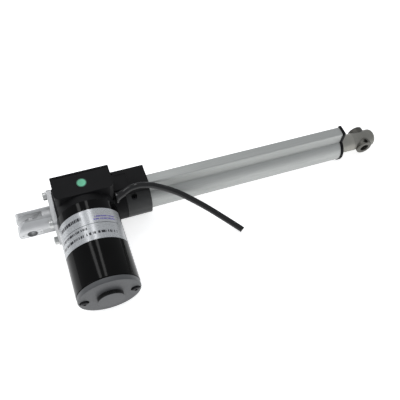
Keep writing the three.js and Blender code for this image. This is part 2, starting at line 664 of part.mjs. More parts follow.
const motorAssembly = group(
  part("motor_front_plate", motorFrontPlate(), PAINT.steel),
  part("motor_can", motorCan(), PAINT.can),
  part("motor_magnet_1", magnet(-1), PAINT.magnet),
  part("motor_magnet_2", magnet(1), PAINT.magnet),
  part("motor_front_bearing", motorBearing(MOTOR.start - 2 * GAP), PAINT.steel),
  part("motor_rear_bearing", motorBearing(MOTOR.end - 1), PAINT.steel),
  part("brush_holder", brushHolder(), PAINT.plastic),
  part("brush_1", brush(-1), PAINT.magnet),
  part("brush_2", brush(1), PAINT.magnet),
  part("motor_end_cap", motorEndCap(), PAINT.endCap),
  part("motor_screw_1", motorScrew(-1), PAINT.darkScrew),
  part("motor_screw_2", motorScrew(1), PAINT.darkScrew),
  part("rating_label", ratingLabel(), PAINT.label),
);

const cableAssembly = group(
  part("cable_gland", cableGland(), PAINT.rubber),
  part("cable", cableTube(), PAINT.rubber),
);

const rodAssembly = group(
  part("rod_tube", rodTube(), PAINT.rod),
  part("drive_nut", driveNut(), PAINT.plastic),
  part("nut_key", keyBox(0), PAINT.brass),
  part("rod_eye", rodEye(), PAINT.rod),
  part("eye_bush_1", eyeBush(-1), PAINT.rod),
  part("eye_bush_2", eyeBush(1), PAINT.rod),
);

const screwAssembly = group(
  part("lead_screw", leadScrew(), PAINT.steel),
  part("worm_wheel", wormWheel(), PAINT.brass),
  part("lock_nut", lockNut(), PAINT.screw),
);

const rotorAssembly = group(
  part("motor_shaft", motorShaft(), PAINT.steel),
  part("worm", worm(), PAINT.steel),
  part("armature", armature(), PAINT.copper),
  part("commutator", ring("y", COMMUTATOR.r, SHAFT.r + GAP, COMMUTATOR.from, COMMUTATOR.to, motorCentre, 32),
    PAINT.copper),
);

export default group(
  mountAssembly, gearboxAssembly, tubeAssembly, motorAssembly,
  cableAssembly, rodAssembly, screwAssembly, rotorAssembly,
);
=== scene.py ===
# A linear actuator lying on a pale table: an aluminium tube with a steel rod, a black gear
# housing with a round gearmotor, a cast rear clevis and a short bare-ended cable.
# Shapes are written in millimetres in the frame's own axes and scaled when a mesh is made.
import math

import bmesh
import bpy
from mathutils import Matrix, Vector


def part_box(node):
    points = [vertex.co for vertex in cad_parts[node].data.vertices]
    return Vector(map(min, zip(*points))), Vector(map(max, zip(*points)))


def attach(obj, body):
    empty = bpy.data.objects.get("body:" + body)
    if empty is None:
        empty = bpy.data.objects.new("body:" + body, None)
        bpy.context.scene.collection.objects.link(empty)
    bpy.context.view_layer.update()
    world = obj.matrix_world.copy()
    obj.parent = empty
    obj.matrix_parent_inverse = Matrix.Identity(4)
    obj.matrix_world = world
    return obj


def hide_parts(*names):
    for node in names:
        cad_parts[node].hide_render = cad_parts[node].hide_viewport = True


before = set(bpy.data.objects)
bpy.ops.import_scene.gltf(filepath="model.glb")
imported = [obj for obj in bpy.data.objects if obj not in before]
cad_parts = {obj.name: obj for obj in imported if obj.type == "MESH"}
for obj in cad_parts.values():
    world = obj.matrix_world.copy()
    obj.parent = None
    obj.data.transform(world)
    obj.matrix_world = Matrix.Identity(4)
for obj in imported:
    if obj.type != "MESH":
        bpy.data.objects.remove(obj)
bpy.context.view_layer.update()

MM = 0.001


# ---------------------------------------------------------------- places read from the frame

def limits(node):
    """Lowest and highest corner of a CAD node, in millimetres."""
    low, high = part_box(node)
    return [c / MM for c in low], [c / MM for c in high]


CAN_LOW, CAN_HIGH = limits("motor_can")
MOTOR_X = (CAN_LOW[0] + CAN_HIGH[0]) / 2
MOTOR_Z = (CAN_LOW[2] + CAN_HIGH[2]) / 2
MOTOR_R = (CAN_HIGH[2] - CAN_LOW[2]) / 2
MOTOR_CENTRE = (MOTOR_X, 0, MOTOR_Z)

CLEVIS_LOW, CLEVIS_HIGH = limits("rear_clevis")
GASKET_LOW, GASKET_HIGH = limits("flange_gasket")
HOUSING_LOW, HOUSING_HIGH = limits("gear_housing")
TUBE_LOW, TUBE_HIGH = limits("outer_tube")
FRONT_CAP_LOW, FRONT_CAP_HIGH = limits("front_cap")
ROD_LOW, ROD_HIGH = limits("rod_tube")
EYE_LOW, EYE_HIGH = limits("rod_eye")
BUSH_LOW, BUSH_HIGH = limits("eye_bush_2")
END_CAP_LOW, END_CAP_HIGH = limits("motor_end_cap")
LABEL_LOW, LABEL_HIGH = limits("rating_label")
STICKER_LOW, STICKER_HIGH = limits("inspection_sticker")
CLAMP_LOW, CLAMP_HIGH = limits("tube_clamp")
CLAMP_SCREW_LOW, CLAMP_SCREW_HIGH = limits("clamp_screw")

# The cable's centreline from the gland's mouth to its cut end, the same points as in the CAD.
CABLE_D = 6.5
CABLE_ROUTE = [
    (96.6, -11.7, 32.4), (103, -10, 34.2), (108.3, -9.7, 35), (113.5, -9.7, 34.8),
    (118.5, -10.3, 33.8), (125.7, -10.9, 31.2), (133.6, -12.9, 27.3), (143.6, -15.8, 21.9),
    (153.3, -20, 16.7), (162.6, -26, 12.1), (171.6, -32.8, 7.9), (180.3, -40.7, 4.5),
    (188.8, -49.2, 1.2), (197.1, -58.2, -1.6), (205.1, -67.4, -3.9), (207, -70, -4.5),
]
GLAND_START = (86.8, -14.6, 30.4)


# ---------------------------------------------------------------- mesh tools

ON_AXIS = 1e-6
# How far a cutting tool runs past the faces it opens.
PAST, WELL_PAST = 1, 5


def place(axis, u, v, w):
    """A point at w along an axis, with u and v on the two axes after it in X, Y, Z order."""
    if axis == "x":
        return (w, u, v)
    if axis == "y":
        return (v, w, u)
    return (u, v, w)


def solid(verts, faces):
    """A closed mesh object from millimetre points, with its faces turned outwards."""
    mesh = bpy.data.meshes.new("solid")
    mesh.from_pydata([[c * MM for c in v] for v in verts], [], faces)
    bm = bmesh.new()
    bm.from_mesh(mesh)
    bmesh.ops.recalc_face_normals(bm, faces=bm.faces)
    bm.to_mesh(mesh)
    bm.free()
    obj = bpy.data.objects.new("solid", mesh)
    bpy.context.collection.objects.link(obj)
    return obj


def turned(axis, profile, centre=(0, 0, 0), sides=72):
    """A solid of revolution from (radius, position) pairs. A profile off the axis is closed up."""
    verts, rings = [], []
    for r, at in profile:
        count = 1 if r < ON_AXIS else sides
        rings.append(list(range(len(verts), len(verts) + count)))
        for k in range(count):
            a = 2 * math.pi * k / count
            point = place(axis, r * math.cos(a), r * math.sin(a), at)
            verts.append([p + c for p, c in zip(point, centre)])
    faces = []
    closed = len(rings[0]) > 1 and len(rings[-1]) > 1
    following = rings[1:] + ([rings[0]] if closed else [])
    for a, b in zip(rings, following):
        for k in range(sides):
            n = (k + 1) % sides
            if len(a) == 1 and len(b) == 1:
                continue
            if len(a) == 1:
                faces.append([a[0], b[k], b[n]])
            elif len(b) == 1:
                faces.append([a[k], b[0], a[n]])
            else:
                faces.append([a[k], b[k], b[n], a[n]])
    return solid(verts, faces)


def bar(axis, r, low, high, centre=(0, 0, 0), sides=72):
    return turned(axis, [(0, low), (r, low), (r, high), (0, high)], centre, sides)


def prism(axis, outline, low, high):
    n = len(outline)
    verts = [place(axis, u, v, w) for w in (low, high) for u, v in outline]
    sides = [[k, (k + 1) % n, n + (k + 1) % n, n + k] for k in range(n)]
    return solid(verts, sides + [list(range(n)), list(range(n, 2 * n))])


def block(x0, x1, y0, y1, z0, z1):
    return prism("z", [(x0, y0), (x1, y0), (x1, y1), (x0, y1)], z0, z1)


def arc(cu, cv, r, start, end, steps):
    """Points on an arc, from one angle to another in degrees."""
    turn = [math.radians(start + (end - start) * k / steps) for k in range(steps + 1)]
    return [(cu + r * math.cos(a), cv + r * math.sin(a)) for a in turn]


def rounded_rectangle(u0, u1, v0, v1, r, high_r=None, steps=8):
    """A rectangle with rounded corners: one radius on its low V side and one on its high."""
    h = r if high_r is None else high_r
    return (arc(u1 - r, v0 + r, r, -90, 0, steps) + arc(u1 - h, v1 - h, h, 0, 90, steps)
            + arc(u0 + h, v1 - h, h, 90, 180, steps) + arc(u0 + r, v0 + r, r, 180, 270, steps))


def aim_z(obj, direction, at):
    """Turns a mesh's Z axis along a direction and moves its origin to a point."""
    turn = direction.to_track_quat("Z", "Y").to_matrix().to_4x4()
    obj.data.transform(Matrix.Translation(at * MM) @ turn)


def settle(obj):
    """Replaces an object's mesh by what its modifiers make of it."""
    graph = bpy.context.evaluated_depsgraph_get()
    mesh = bpy.data.meshes.new_from_object(obj.evaluated_get(graph))
    old = obj.data
    obj.modifiers.clear()
    obj.data = mesh
    bpy.data.meshes.remove(old)
    return obj


def combine(base, operation, tools):
    for tool in tools:
        step = base.modifiers.new("combine", "BOOLEAN")
        step.operation = operation
        step.solver = "EXACT"
        step.object = tool
    settle(base)
    for tool in tools:
        bpy.data.objects.remove(tool, do_unlink=True)
    return base


def joined(base, *tools):
    return combine(base, "UNION", tools)


def carved(base, *tools):
    return combine(base, "DIFFERENCE", tools)


def common(base, *tools):
    return combine(base, "INTERSECT", tools)


def soften(obj, width, segments=2, angle=32):
    """Rounds every edge sharper than the angle, as a casting's or a moulding's edges are."""
    edge = obj.modifiers.new("edges", "BEVEL")
    edge.width = width * MM
    edge.segments = segments
    edge.limit_method = "ANGLE"
    edge.angle_limit = math.radians(angle)
    edge.use_clamp_overlap = True
    return settle(obj)


def piece(obj, name, body, materials, nodes, smooth=38):
    """Names a finished piece, gives it its finish, ties it to its body and hides the CAD nodes it
    stands for.
    """
    obj.name = name
    obj.data.name = name
    for material in materials:
        obj.data.materials.append(material)
    obj.data.shade_smooth()
    obj.data.set_sharp_from_angle(angle=math.radians(smooth))
    even = obj.modifiers.new("even_normals", "WEIGHTED_NORMAL")
    even.keep_sharp = True
    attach(obj, body)
    if nodes:
        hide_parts(*nodes)
    return obj


# ---------------------------------------------------------------- materials

CLOUD_SCALE, CLOUD_DETAIL, GRAIN_DETAIL = 60, 5.0, 3.0
NOISE_LOW, NOISE_HIGH = 0.3, 0.7
SMOOTHEST, ROUGHEST = 0.82, 1.18
WORN_FROM, WORN_TO, WORN_LIGHTER = 0.52, 0.6, 2.2
GRAIN_BUMP = 0.6
COLOUR_A, COLOUR_B, COLOUR_OUT = 6, 7, 2


def link(tree, source, target):
    tree.links.new(source, target)


def noise(tree, coordinates, scale, detail, stretch):
    mapping = tree.nodes.new("ShaderNodeMapping")
    mapping.inputs["Scale"].default_value = stretch
    link(tree, coordinates, mapping.inputs["Vector"])
    texture = tree.nodes.new("ShaderNodeTexNoise")
    texture.inputs["Scale"].default_value = scale
    texture.inputs["Detail"].default_value = detail
    link(tree, mapping.outputs["Vector"], texture.inputs["Vector"])
    return texture.outputs["Fac"]


def remap(tree, value, low, high, to_low, to_high):
    node = tree.nodes.new("ShaderNodeMapRange")
    ends = (("From Min", low), ("From Max", high), ("To Min", to_low), ("To Max", to_high))
    for socket, number in ends:
        node.inputs[socket].default_value = number
    link(tree, value, node.inputs["Value"])
    return node.outputs["Result"]


def mix(tree, factor, first, second):
    """Mixes two colours, each a socket or a plain colour."""
    node = tree.nodes.new("ShaderNodeMix")
    node.data_type = "RGBA"
    link(tree, factor, node.inputs[0])
    for index, colour in ((COLOUR_A, first), (COLOUR_B, second)):
        if isinstance(colour, tuple):
            node.inputs[index].default_value = (*colour, 1)
        else:
            link(tree, colour, node.inputs[index])
    return node.outputs[COLOUR_OUT]


def scaled(colour, factor):
    return tuple(min(1.0, c * factor) for c in colour)


def surface(name, colour, rough, metal=0.0, specular=0.5, grain=900, depth=0.02, mottle=0.12,
            stretch=(1, 1, 1), wear=0.0):
    """A procedural finish: mottled colour, uneven roughness, grain in the bump, worn edges."""
    material = bpy.data.materials.new(name)
    material.use_nodes = True
    tree = material.node_tree
    shader = tree.nodes["Principled BSDF"]
    shader.inputs["Metallic"].default_value = metal
    shader.inputs["Specular IOR Level"].default_value = specular
    coordinates = tree.nodes.new("ShaderNodeTexCoord").outputs["Object"]
    cloud = noise(tree, coordinates, CLOUD_SCALE, CLOUD_DETAIL, stretch)
    fine = noise(tree, coordinates, grain, GRAIN_DETAIL, stretch)
    patches = remap(tree, cloud, NOISE_LOW, NOISE_HIGH, 0, 1)
    base = mix(tree, patches, scaled(colour, 1 - mottle), scaled(colour, 1 + mottle))
    if wear:
        edge = tree.nodes.new("ShaderNodeNewGeometry").outputs["Pointiness"]
        worn = remap(tree, edge, WORN_FROM, WORN_TO, 0, wear)
        base = mix(tree, worn, base, scaled(colour, WORN_LIGHTER))
    link(tree, base, shader.inputs["Base Color"])
    uneven = remap(tree, fine, NOISE_LOW, NOISE_HIGH, rough * SMOOTHEST, rough * ROUGHEST)
    link(tree, uneven, shader.inputs["Roughness"])
    bump = tree.nodes.new("ShaderNodeBump")
    bump.inputs["Strength"].default_value = GRAIN_BUMP
    bump.inputs["Distance"].default_value = depth * MM
    link(tree, fine, bump.inputs["Height"])
    link(tree, bump.outputs["Normal"], shader.inputs["Normal"])
    return material


ALONG_TUBE = (0.03, 1, 1)
ROUND_ROD = (1, 0.08, 0.08)
ROUND_WINDING = (1, 0.1, 1)

cast = surface("cast_aluminium", (0.44, 0.445, 0.45), 0.46, 0.9, grain=1400, depth=0.05,
               mottle=0.1, wear=0.3)
zinc = surface("zinc_plating", (0.48, 0.49, 0.48), 0.3, 1.0, grain=1800, depth=0.02, mottle=0.15,
               wear=0.3)
gasket_rubber = surface("black_rubber", (0.012, 0.012, 0.013), 0.7, grain=1200, depth=0.03)
moulded = surface("black_moulding", (0.0065, 0.0065, 0.007), 0.5, specular=0.1, grain=2600,
                  depth=0.02, mottle=0.2, wear=0.15)
collar_grey = surface("grey_moulding", (0.02, 0.021, 0.021), 0.42, specular=0.3, grain=2200,
                      depth=0.02, mottle=0.25, wear=0.2)
dark_steel = surface("blackened_steel", (0.022, 0.022, 0.024), 0.38, 0.8, grain=1500, depth=0.02,
                     wear=0.5)
anodised = surface("anodised_extrusion", (0.42, 0.43, 0.42), 0.56, 0.85, grain=1300, depth=0.012,
                   mottle=0.05, stretch=ALONG_TUBE, wear=0.1)
nickel = surface("nickel_steel", (0.23, 0.226, 0.205), 0.5, 0.85, grain=1500, depth=0.012,
                 mottle=0.1, stretch=ROUND_ROD, wear=0.3)
bush_steel = surface("bush_steel", (0.08, 0.078, 0.07), 0.5, 0.85, grain=1300, depth=0.03,
                     mottle=0.15, wear=0.5)
gloss_black = surface("gloss_black_enamel", (0.002, 0.002, 0.002), 0.1, specular=0.1, grain=700,
                      depth=0.008, mottle=0.3)
cap_grey = surface("grey_enamel", (0.062, 0.064, 0.067), 0.45, 0.1, grain=1700, depth=0.03,
                   mottle=0.06, wear=0.3)
# A near-black that serves as painted shade inside the end cap's screw recesses and as the black of
# its boss's wall.
shade_and_boss_black = surface("shade_and_boss_black", (0.004, 0.004, 0.004), 0.3, grain=1500, depth=0.02)
cable_vinyl = surface("black_vinyl", (0.0035, 0.0035, 0.004), 0.15, specular=0.4, grain=1000,
                      depth=0.01)
copper = surface("copper_strand", (0.72, 0.36, 0.18), 0.35, 1.0, grain=3000, depth=0.05)
steel = surface("bearing_steel", (0.5, 0.51, 0.52), 0.25, 1.0, grain=1500, depth=0.01)
ferrite = surface("ferrite", (0.045, 0.046, 0.05), 0.75, grain=1800, depth=0.05)
bronze = surface("bronze", (0.5, 0.34, 0.12), 0.35, 1.0, grain=1500, depth=0.02, wear=0.3)
winding = surface("copper_winding", (0.5, 0.2, 0.08), 0.4, 0.8, grain=900, depth=0.1,
                  stretch=ROUND_WINDING)
white_plastic = surface("acetal", (0.75, 0.74, 0.68), 0.45, grain=1600, depth=0.02)
board = surface("circuit_board", (0.03, 0.16, 0.07), 0.4, grain=900, depth=0.03)


def base_colour(material):
    """A finish's node tree, its base colour socket and the colour linked to that."""
    tree = material.node_tree
    socket = tree.nodes["Principled BSDF"].inputs["Base Color"]
    return tree, socket, socket.links[0].from_socket


def radial_distance(tree, centre):
    """Distance in metres from a point to the shaded point, in the frame's axes."""
    coordinates = tree.nodes.new("ShaderNodeTexCoord").outputs["Object"]
    node = tree.nodes.new("ShaderNodeVectorMath")
    node.operation = "DISTANCE"
    node.inputs[1].default_value = [c * MM for c in centre]
    link(tree, coordinates, node.inputs[0])
    return node.outputs["Value"]


STICKER_GREEN, RIM_GREEN = (0.1, 0.5, 0.29), (0.01, 0.11, 0.06)
RIM_FROM, RIM_TO = 0.74, 0.9


def sticker_material():
    material = surface("green_sticker", STICKER_GREEN, 0.35, grain=800, depth=0.01, mottle=0.25)
    tree, socket, plain = base_colour(material)
    centre = [(a + b) / 2 for a, b in zip(STICKER_LOW, STICKER_HIGH)]
    radius = (STICKER_HIGH[0] - STICKER_LOW[0]) / 2 * MM
    distance = radial_distance(tree, centre)
    rim = remap(tree, distance, radius * RIM_FROM, radius * RIM_TO, 0, 1)
    link(tree, mix(tree, rim, plain, RIM_GREEN), socket)
    return material


def calculate(tree, operation, first, second):
    """One maths step. Each operand is a socket or a plain number."""
    node = tree.nodes.new("ShaderNodeMath")
    node.operation = operation
    for index, value in enumerate((first, second)):
        if isinstance(value, (int, float)):
            node.inputs[index].default_value = value
        else:
            link(tree, value, node.inputs[index])
    return node.outputs[0]


def between(tree, value, low, high):
    above = calculate(tree, "GREATER_THAN", value, low)
    below = calculate(tree, "LESS_THAN", value, high)
    return calculate(tree, "MULTIPLY", above, below)


# Printed rows on the rating label: from and to along the text, from and to across it, marks
# along the row, the share of marks that are inked, and the ink.
BLACK_INK = (0.02, 0.02, 0.025)
VIOLET_INK = (0.16, 0.13, 0.4)
PRINTED_ROWS = [
    (0.10, 0.47, 0.17, 0.28, 62, 0.6, BLACK_INK),
    (0.60, 0.86, 0.25, 0.295, 60, 0.8, VIOLET_INK),
    (0.58, 0.87, 0.34, 0.385, 70, 0.8, VIOLET_INK),
    (0.04, 0.90, 0.475, 0.49, 1, 1.0, BLACK_INK),
    (0.08, 0.50, 0.56, 0.635, 90, 0.6, BLACK_INK),
    (0.05, 0.84, 0.75, 0.83, 120, 0.5, BLACK_INK),
]
ROW_SEED_STEP = 17.0


def label_material():
    material = surface("silver_label", (0.43, 0.442, 0.455), 0.28, 0.4, grain=1500, depth=0.005,
                       mottle=0.06)
    tree, socket, colour = base_colour(material)
    split = tree.nodes.new("ShaderNodeSeparateXYZ")
    link(tree, tree.nodes.new("ShaderNodeTexCoord").outputs["UV"], split.inputs[0])
    along, across = split.outputs["X"], split.outputs["Y"]
    for row, (u0, u1, v0, v1, marks, inked, ink) in enumerate(PRINTED_ROWS):
        inside_u, inside_v = between(tree, along, u0, u1), between(tree, across, v0, v1)
        area = calculate(tree, "MULTIPLY", inside_u, inside_v)
        counted = calculate(tree, "MULTIPLY", along, marks / (u1 - u0))
        cell = calculate(tree, "FLOOR", counted, 0)
        chance = tree.nodes.new("ShaderNodeTexWhiteNoise")
        chance.noise_dimensions = "1D"
        link(tree, calculate(tree, "ADD", cell, ROW_SEED_STEP * row), chance.inputs["W"])
        mark = calculate(tree, "LESS_THAN", chance.outputs["Value"], inked)
        colour = mix(tree, calculate(tree, "MULTIPLY", area, mark), colour, ink)
    link(tree, colour, socket)
    return material


# ---------------------------------------------------------------- camera

LENS = 47.94
CAMERA_AT = (0.0372, -0.3039, 0.4813)
CAMERA_RIGHT = Vector((0.9381, -0.3387, 0.0724))
CAMERA_UP = Vector((0.2489, 0.8045, 0.5392))
CAMERA_FORWARD = Vector((0.2409, 0.4878, -0.8390))


def make_camera():
    data = bpy.data.cameras.new("camera")
    data.lens = LENS
    camera = bpy.data.objects.new("camera", data)
    bpy.context.collection.objects.link(camera)
    turn = Matrix((CAMERA_RIGHT, CAMERA_UP, -CAMERA_FORWARD)).transposed().to_4x4()
    camera.matrix_world = Matrix.Translation(CAMERA_AT) @ turn
    bpy.context.scene.camera = camera


# ---------------------------------------------------------------- cable and gland

# Profiles are (radius, position) pairs: the sleeve's from its root, the flange's in the frame,
# and a core's from the cable's cut end.
SLEEVE_PROFILE = [(0, 1.6), (4.5, 1.6), (4.3, 2.4), (3.95, 3.6), (3.8, 5.5)]
SLEEVE_RIM_R, SLEEVE_MOUTH_R, SLEEVE_RIM = 3.72, 3.4, 0.5
SLEEVE_SHORT_OF_MOUTH = 0.3
GLAND_FLANGE = [(0, 86.8), (5.1, 86.8), (5.4, 87.1), (5.4, 88.7), (4.9, 89.2), (0, 89.2)]
CORE_PROFILE = [(0, -1.4), (0.75, -1.4), (0.75, -0.02), (0.6, 0.03), (0, 0.05)]
CORE_OFF_CENTRE = 1.35
CABLE_ROUNDNESS = 8


def smooth_route(points, steps=6):
    """Catmull-Rom curve through the points."""
    path = []
    last = len(points) - 1
    for i in range(last):
        a, b, c, d = (Vector(points[min(max(k, 0), last)]) for k in (i - 1, i, i + 1, i + 2))
        for k in range(steps):
            t = k / steps
            path.append(0.5 * (2 * b + (c - a) * t + (2 * a - 5 * b + 4 * c - d) * t * t
                               + (3 * b - a - 3 * c + d) * t ** 3))
    path.append(Vector(points[-1]))
    return path


def cable_gland():
    """A flanged sleeve that leans along the cable's first stretch and tapers down to it."""
    start, mouth = Vector(GLAND_START), Vector(CABLE_ROUTE[0])
    length = (mouth - start).length - SLEEVE_SHORT_OF_MOUTH
    end = [(SLEEVE_RIM_R, length - SLEEVE_RIM), (SLEEVE_MOUTH_R, length), (0, length)]
    sleeve = turned("z", SLEEVE_PROFILE + end, sides=48)
    aim_z(sleeve, (mouth - start).normalized(), start)
    flange = turned("x", GLAND_FLANGE, (0, GLAND_START[1], GLAND_START[2]), 48)
    return piece(joined(sleeve, flange), "gland_sleeve", "housing",
                 [cable_vinyl], ["cable_gland"])


def cable_cores(path):
    """The two stranded cores that show in the cut end."""
    end, back = path[-1], path[-2]
    along = (end - back).normalized()
    side = along.cross(Vector((0, 0, 1))).normalized()
    cores = []
    for sign in (-1, 1):
        core = turned("z", CORE_PROFILE, sides=20)
        aim_z(core, along, end + side * (sign * CORE_OFF_CENTRE))
        cores.append(core)
    return piece(joined(*cores), "cable_cores", "housing", [copper], [])


def make_cable():
    path = smooth_route(CABLE_ROUTE)
    curve = bpy.data.curves.new("supply_cable", "CURVE")
    curve.dimensions = "3D"
    curve.bevel_depth = CABLE_D / 2 * MM
    curve.bevel_resolution = CABLE_ROUNDNESS
    curve.use_fill_caps = True
    spline = curve.splines.new("POLY")
    spline.points.add(len(path) - 1)
    for point, at in zip(spline.points, path):
        point.co = (*(at * MM), 1)
    spline.use_smooth = True
    cable = bpy.data.objects.new("supply_cable", curve)
    bpy.context.collection.objects.link(cable)
    curve.materials.append(cable_vinyl)
    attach(cable, "housing")
    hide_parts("cable")
    cable_gland()
    cable_cores(path)


# ---------------------------------------------------------------- clevis, gasket, flange screws

CLEVIS_R, CLEVIS_SLOT, CLEVIS_SLOT_END = 13.35, 3.7, 13.5
FLAT_Y, FLAT_END = 12.3, 11
PIN_R = 5.2
EJECTOR_R, EJECTOR_DEPTH, EJECTORS_X = 0.9, 0.35, (-9.2, 8.6)
FLANGE_X, FLANGE_CORNER = 22.5, 3.5
GASKET_BORE_R = 17
SCREW_AT = 17
SCREW_CORNERS = [(SCREW_AT, SCREW_AT), (-SCREW_AT, SCREW_AT), (-SCREW_AT, -SCREW_AT),
                 (SCREW_AT, -SCREW_AT)]
FLANGE_HOLE_R, HOUSING_HOLE_R = 2.7, 2.6
HOLES_FROM, CLEVIS_HOLES_TO, GASKET_HOLES_TO, HOUSING_HOLES_TO = 20, 30, 32, 42
# A flange bolt's head from its top down, as (radius, depth) pairs, then its sizes.
BOLT_DOME = [(0, 0), (3.4, 0), (3.75, 0.12), (4.05, 0.45), (4.2, 0.9)]
BOLT_HEAD_R, BOLT_SEAT_R, BOLT_SHANK_R, BOLT_TIP_R = 4.2, 4.0, 2.3, 1.8
BOLT_HEAD, BOLT_SEAT_EDGE, BOLT_TIP = 4, 0.2, 0.6
BOLT_HEX_R, BOLT_HEX_DEPTH = 1.9, 2.2


def flange_holes(r, low, high):
    return [bar("x", r, low, high, (0, y, z), 32) for y, z in SCREW_CORNERS]


def hex_screw(axis, profile, centre, sides, hex_r, hex_low, hex_high):
    """A turned screw with a hexagonal socket cut from one position to another."""
    hexagon = bar(axis, hex_r, hex_low, hex_high, centre, 6)
    return carved(turned(axis, profile, centre, sides), hexagon)


def rear_clevis():
    tip, half = CLEVIS_LOW[0], CLEVIS_HIGH[1]
    far = 2 * CLEVIS_R
    fork = carved(
        bar("x", CLEVIS_R, tip, FLANGE_X + PAST, sides=96),
        block(tip - PAST, CLEVIS_SLOT_END, -CLEVIS_SLOT, CLEVIS_SLOT, -far, far),
        block(tip - PAST, FLAT_END, FLAT_Y, far, -far, far),
        block(tip - PAST, FLAT_END, -far, -FLAT_Y, -far, far),
        bar("y", PIN_R, -far, far),
    )
    rounding = joined(bar("y", CLEVIS_R, -far, far, sides=96), block(0, far, -far, far, -far, far))
    outline = rounded_rectangle(-half, half, -half, half, FLANGE_CORNER)
    body = joined(common(fork, rounding), prism("x", outline, FLANGE_X, CLEVIS_HIGH[0]))
    marks = [bar("y", EJECTOR_R, side * FLAT_Y - EJECTOR_DEPTH, side * FLAT_Y + EJECTOR_DEPTH,
                 (x, 0, 0), 20) for side in (-1, 1) for x in EJECTORS_X]
    carved(body, *flange_holes(FLANGE_HOLE_R, HOLES_FROM, CLEVIS_HOLES_TO), *marks)
    return piece(soften(body, 0.45), "clevis_casting", "housing", [cast],
                 ["rear_clevis"])


def flange_gasket():
    half = GASKET_HIGH[1]
    outline = rounded_rectangle(-half, half, -half, half, FLANGE_CORNER)
    plate = prism("x", outline, GASKET_LOW[0], GASKET_HIGH[0])
    carved(plate, bar("x", GASKET_BORE_R, HOLES_FROM, GASKET_HOLES_TO),
           *flange_holes(FLANGE_HOLE_R, HOLES_FROM, GASKET_HOLES_TO))
    return piece(soften(plate, 0.25), "gasket_plate", "housing",
                 [gasket_rubber], ["flange_gasket"])


def flange_screws():
    for index, (y, z) in enumerate(SCREW_CORNERS, 1):
        low, high = limits(f"flange_screw_{index}")
        top, seat, end = low[0], low[0] + BOLT_HEAD, high[0]
        shank = [(BOLT_HEAD_R, seat - BOLT_SEAT_EDGE), (BOLT_SEAT_R, seat), (BOLT_SHANK_R, seat),
                 (BOLT_SHANK_R, end - BOLT_TIP), (BOLT_TIP_R, end), (0, end)]
        profile = [(r, top + depth) for r, depth in BOLT_DOME] + shank
        screw = hex_screw("x", profile, (0, y, z), 40, BOLT_HEX_R, top - PAST,
                          top + BOLT_HEX_DEPTH)
        piece(screw, f"flange_bolt_{index}", "housing", [zinc],
              [f"flange_screw_{index}"])


# ---------------------------------------------------------------- gear housing and clamp

BODY_HALF, BODY_CORNER, BODY_END = 21.7, 7, 84
BLOCK_END, BLOCK_FRONT, BLOCK_BACK, BLOCK_TOP = 86.5, -16.3, 9.8, 55
BLOCK_FRONT_CORNER, BLOCK_BACK_CORNER = 5, 1
BOSS_R, BOSS_END = 13, 21.5
NECK_R, NECK_END = 29, -24
JOIN_LAP = 3
NECK_ROOM, NECK_ROOM_END = 60, 200
SOCKET_X = 83
SOCKET_R = 19.4
SOCKET_BACK, SOCKET_FRONT, SOCKET_TOP = 18.6, -7.6, 30.4
SOCKET_CHAMFER = 1.6
TUBE_R, RIB_HALF, RIB_TOP, RIB_CORNER = 15.4, 5.75, 28.6, 1.6
TUBE_GAP = 0.3
# Bores as (radius, from, to): along the lead screw, and across it along the motor's axis.
SCREW_BORES = [
    (17.6, HOUSING_LOW[0] - WELL_PAST, 66), (11.3, 65, 73.7), (8, 70, TUBE_LOW[0]),
    (13.4, 80, TUBE_LOW[0]),
]
WORM_BORES = [(12.4, NECK_END - WELL_PAST, 12.5), (8.3, NECK_END - WELL_PAST, 18.8)]
WIRE_HOLE_R, WIRE_HOLE_FROM = 1.9, 64
STRIP_NOTCH_FROM, STRIP_NOTCH_HALF, STRIP_NOTCH_TOP = 78, 2.7, 19.6
# Marks in the moulding: a groove along the block's top back edge, a pocket on the socket's top
# from one X and Y to another, and a round gate mark beside it.
GROOVE_START, GROOVE_END, GROOVE_FRONT, GROOVE_BACK, GROOVE_DEPTH = 4, 1.2, 2.6, 1.9, 0.5
POCKET_X, POCKET_Y, POCKET_DEPTH = (91.5, 104), (-2.5, 12.2), 0.35
GATE_R, GATE_AT, GATE_DEPTH = 1.1, (90, 14.2, 0), 1.2

CLAMP_SPLIT, CLAMP_EDGE, CLAMP_SHOULDER = 22.2, -8.4, 4.6
CLAMP_GAP, SPLIT_GAP, CLAMP_ROOM = 0.3, 0.15, 40
CLAMP_BORE_FROM = 80
CLAMP_RECESS_R, CLAMP_RECESS_FLOOR = 3, 15.6
CLAMP_HOLE_R, CLAMP_HOLE_FROM = 1.6, 12.7
CLAMP_HEAD, CLAMP_HEAD_EDGE, CLAMP_SHANK_R = 2.4, 0.6, 1.3
CLAMP_HEX_R, CLAMP_HEX_DEPTH = 1.3, 1.5
CLAMP_CENTRE = (
    (CLAMP_SCREW_LOW[0] + CLAMP_SCREW_HIGH[0]) / 2,
    (CLAMP_SCREW_LOW[1] + CLAMP_SCREW_HIGH[1]) / 2,
    0,
)
STICKER_EDGE_DROP, STICKER_EDGE = 0.06, 0.12


def keyhole(grow=0.0, steps=56):
    """The extrusion's outline: a circle with a rectangular rib on top, grown by a margin."""
    r, half, top = TUBE_R + grow, RIB_HALF + grow, RIB_TOP + grow
    valley = math.degrees(math.asin(half / r))
    return (arc(0, 0, r, 90 + valley, 450 - valley, steps)
            + arc(half - RIB_CORNER, top - RIB_CORNER, RIB_CORNER, 0, 90, 6)
            + arc(RIB_CORNER - half, top - RIB_CORNER, RIB_CORNER, 90, 180, 6))


